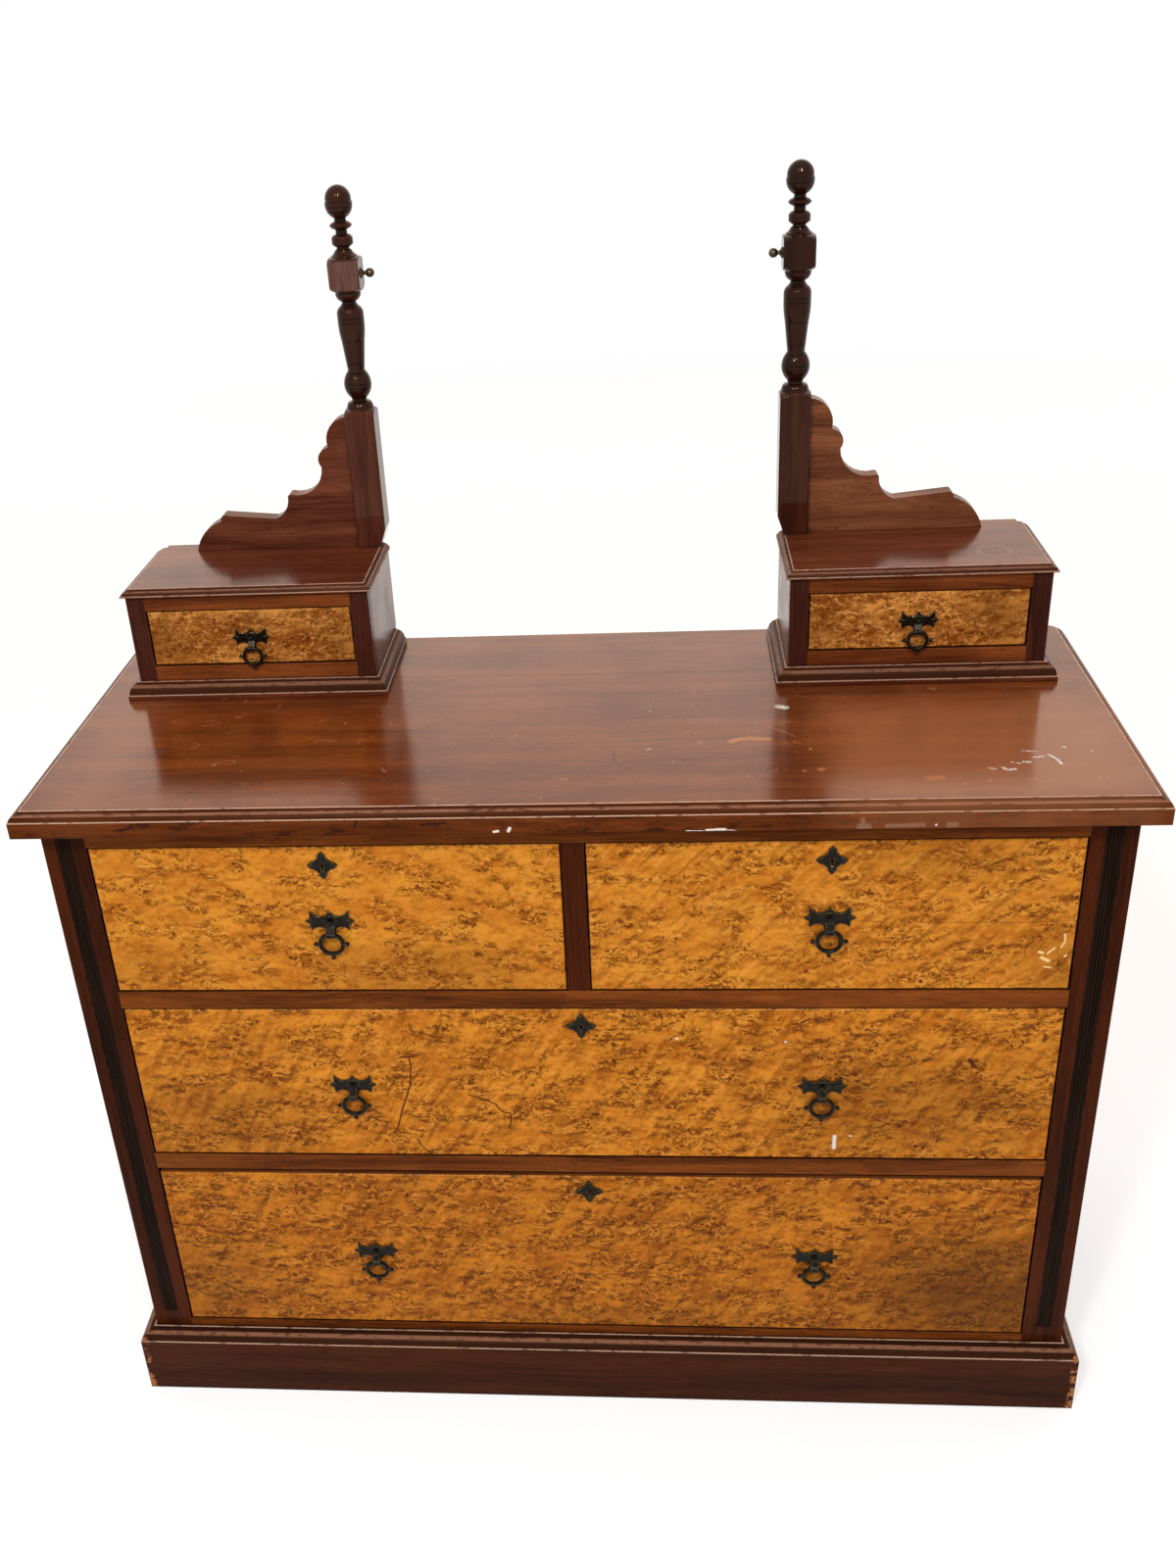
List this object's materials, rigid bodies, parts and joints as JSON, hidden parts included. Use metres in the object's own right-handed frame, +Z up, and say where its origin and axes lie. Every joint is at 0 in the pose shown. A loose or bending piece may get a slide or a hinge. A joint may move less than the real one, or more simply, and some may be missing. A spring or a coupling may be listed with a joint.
{
  "type": "dressing chest",
  "caption": "Mahogany dressing chest with short and long burr veneered drawers, small drawer boxes on top, turned mirror standards and ring handles.",
  "frame": {"origin": "on the floor under the middle of the chest", "axes": "+Z up, drawers open towards -Y, +X to the right as seen from the front"},
  "size_m": [1.067, 0.41, 1.288],
  "materials": {
    "mahogany": "French polished mahogany, red brown",
    "burr_veneer": "polished golden burr and bird's eye veneer",
    "pine": "bare aged pine",
    "ebonised_band": "ebonised and polished",
    "bronze": "dark patinated cast brass"
  },
  "bodies": {
    "carcass": {"top_front_board": "mahogany", "top_rear_board": "mahogany", "side_left": "mahogany", "side_right": "mahogany", "stiles": "mahogany", "reeded_bands": "ebonised_band", "top_rails": "mahogany", "upper_rail": "mahogany", "lower_rail": "mahogany", "bottom_rail": "mahogany", "dustboards": "pine", "drawer_runners": "pine", "bottom_board": "pine", "back_boards": "pine", "plinth_front": "mahogany", "plinth_returns": "mahogany", "glue_blocks": "pine", "box_base_left": "mahogany", "box_base_right": "mahogany", "box_case_left": "mahogany", "box_case_right": "mahogany", "box_frame_left": "mahogany", "box_frame_right": "mahogany", "box_top_left": "mahogany", "box_top_right": "mahogany", "post_left": "mahogany", "post_right": "mahogany", "bracket_left": "mahogany", "bracket_right": "mahogany", "mirror_pivots": "bronze"},
    "short_left_drawer": {"short_left_front": "burr_veneer", "short_left_box": "pine", "short_left_plate": "bronze", "short_left_lock": "bronze"},
    "short_left_ring_body": {"short_left_ring": "bronze"},
    "short_right_drawer": {"short_right_front": "burr_veneer", "short_right_box": "pine", "short_right_plate": "bronze", "short_right_lock": "bronze"},
    "short_right_ring_body": {"short_right_ring": "bronze"},
    "middle_drawer": {"middle_front": "burr_veneer", "middle_box": "pine", "middle_plates": "bronze", "middle_lock": "bronze"},
    "middle_ring_left_body": {"middle_ring_left": "bronze"},
    "middle_ring_right_body": {"middle_ring_right": "bronze"},
    "bottom_drawer": {"bottom_front": "burr_veneer", "bottom_box": "pine", "bottom_plates": "bronze", "bottom_lock": "bronze"},
    "bottom_ring_left_body": {"bottom_ring_left": "bronze"},
    "bottom_ring_right_body": {"bottom_ring_right": "bronze"},
    "box_left_drawer_body": {"box_left_front": "burr_veneer", "box_left_drawer": "pine", "box_left_plate": "bronze"},
    "box_left_ring_body": {"box_left_ring": "bronze"},
    "box_right_drawer_body": {"box_right_front": "burr_veneer", "box_right_drawer": "pine", "box_right_plate": "bronze"},
    "box_right_ring_body": {"box_right_ring": "bronze"}
  },
  "joints": [
    {"name": "short_left_slide", "type": "slide", "parent": "carcass", "child": "short_left_drawer", "axis": [0, -1, 0], "range_m": [0, 0.3]},
    {"name": "short_left_ring_swing", "type": "hinge", "parent": "short_left_drawer", "child": "short_left_ring_body", "pos_m": [-0.24175, -0.1855, 0.63785], "axis": [-1, 0, 0], "range_deg": [0, 95]},
    {"name": "short_right_slide", "type": "slide", "parent": "carcass", "child": "short_right_drawer", "axis": [0, -1, 0], "range_m": [0, 0.3]},
    {"name": "short_right_ring_swing", "type": "hinge", "parent": "short_right_drawer", "child": "short_right_ring_body", "pos_m": [0.24175, -0.1855, 0.63785], "axis": [-1, 0, 0], "range_deg": [0, 95]},
    {"name": "middle_slide", "type": "slide", "parent": "carcass", "child": "middle_drawer", "axis": [0, -1, 0], "range_m": [0, 0.3]},
    {"name": "middle_ring_left_swing", "type": "hinge", "parent": "middle_drawer", "child": "middle_ring_left_body", "pos_m": [-0.24175, -0.1855, 0.43335], "axis": [-1, 0, 0], "range_deg": [0, 95]},
    {"name": "middle_ring_right_swing", "type": "hinge", "parent": "middle_drawer", "child": "middle_ring_right_body", "pos_m": [0.24175, -0.1855, 0.43335], "axis": [-1, 0, 0], "range_deg": [0, 95]},
    {"name": "bottom_slide", "type": "slide", "parent": "carcass", "child": "bottom_drawer", "axis": [0, -1, 0], "range_m": [0, 0.3]},
    {"name": "bottom_ring_left_swing", "type": "hinge", "parent": "bottom_drawer", "child": "bottom_ring_left_body", "pos_m": [-0.24175, -0.1855, 0.19675], "axis": [-1, 0, 0], "range_deg": [0, 95]},
    {"name": "bottom_ring_right_swing", "type": "hinge", "parent": "bottom_drawer", "child": "bottom_ring_right_body", "pos_m": [0.24175, -0.1855, 0.19675], "axis": [-1, 0, 0], "range_deg": [0, 95]},
    {"name": "box_left_slide", "type": "slide", "parent": "carcass", "child": "box_left_drawer_body", "axis": [0, -1, 0], "range_m": [0, 0.1]},
    {"name": "box_left_ring_swing", "type": "hinge", "parent": "box_left_drawer_body", "child": "box_left_ring_body", "pos_m": [-0.349, 0.05582, 0.84281], "axis": [-1, 0, 0], "range_deg": [0, 95]},
    {"name": "box_right_slide", "type": "slide", "parent": "carcass", "child": "box_right_drawer_body", "axis": [0, -1, 0], "range_m": [0, 0.1]},
    {"name": "box_right_ring_swing", "type": "hinge", "parent": "box_right_drawer_body", "child": "box_right_ring_body", "pos_m": [0.349, 0.05582, 0.84281], "axis": [-1, 0, 0], "range_deg": [0, 95]}
  ]
}
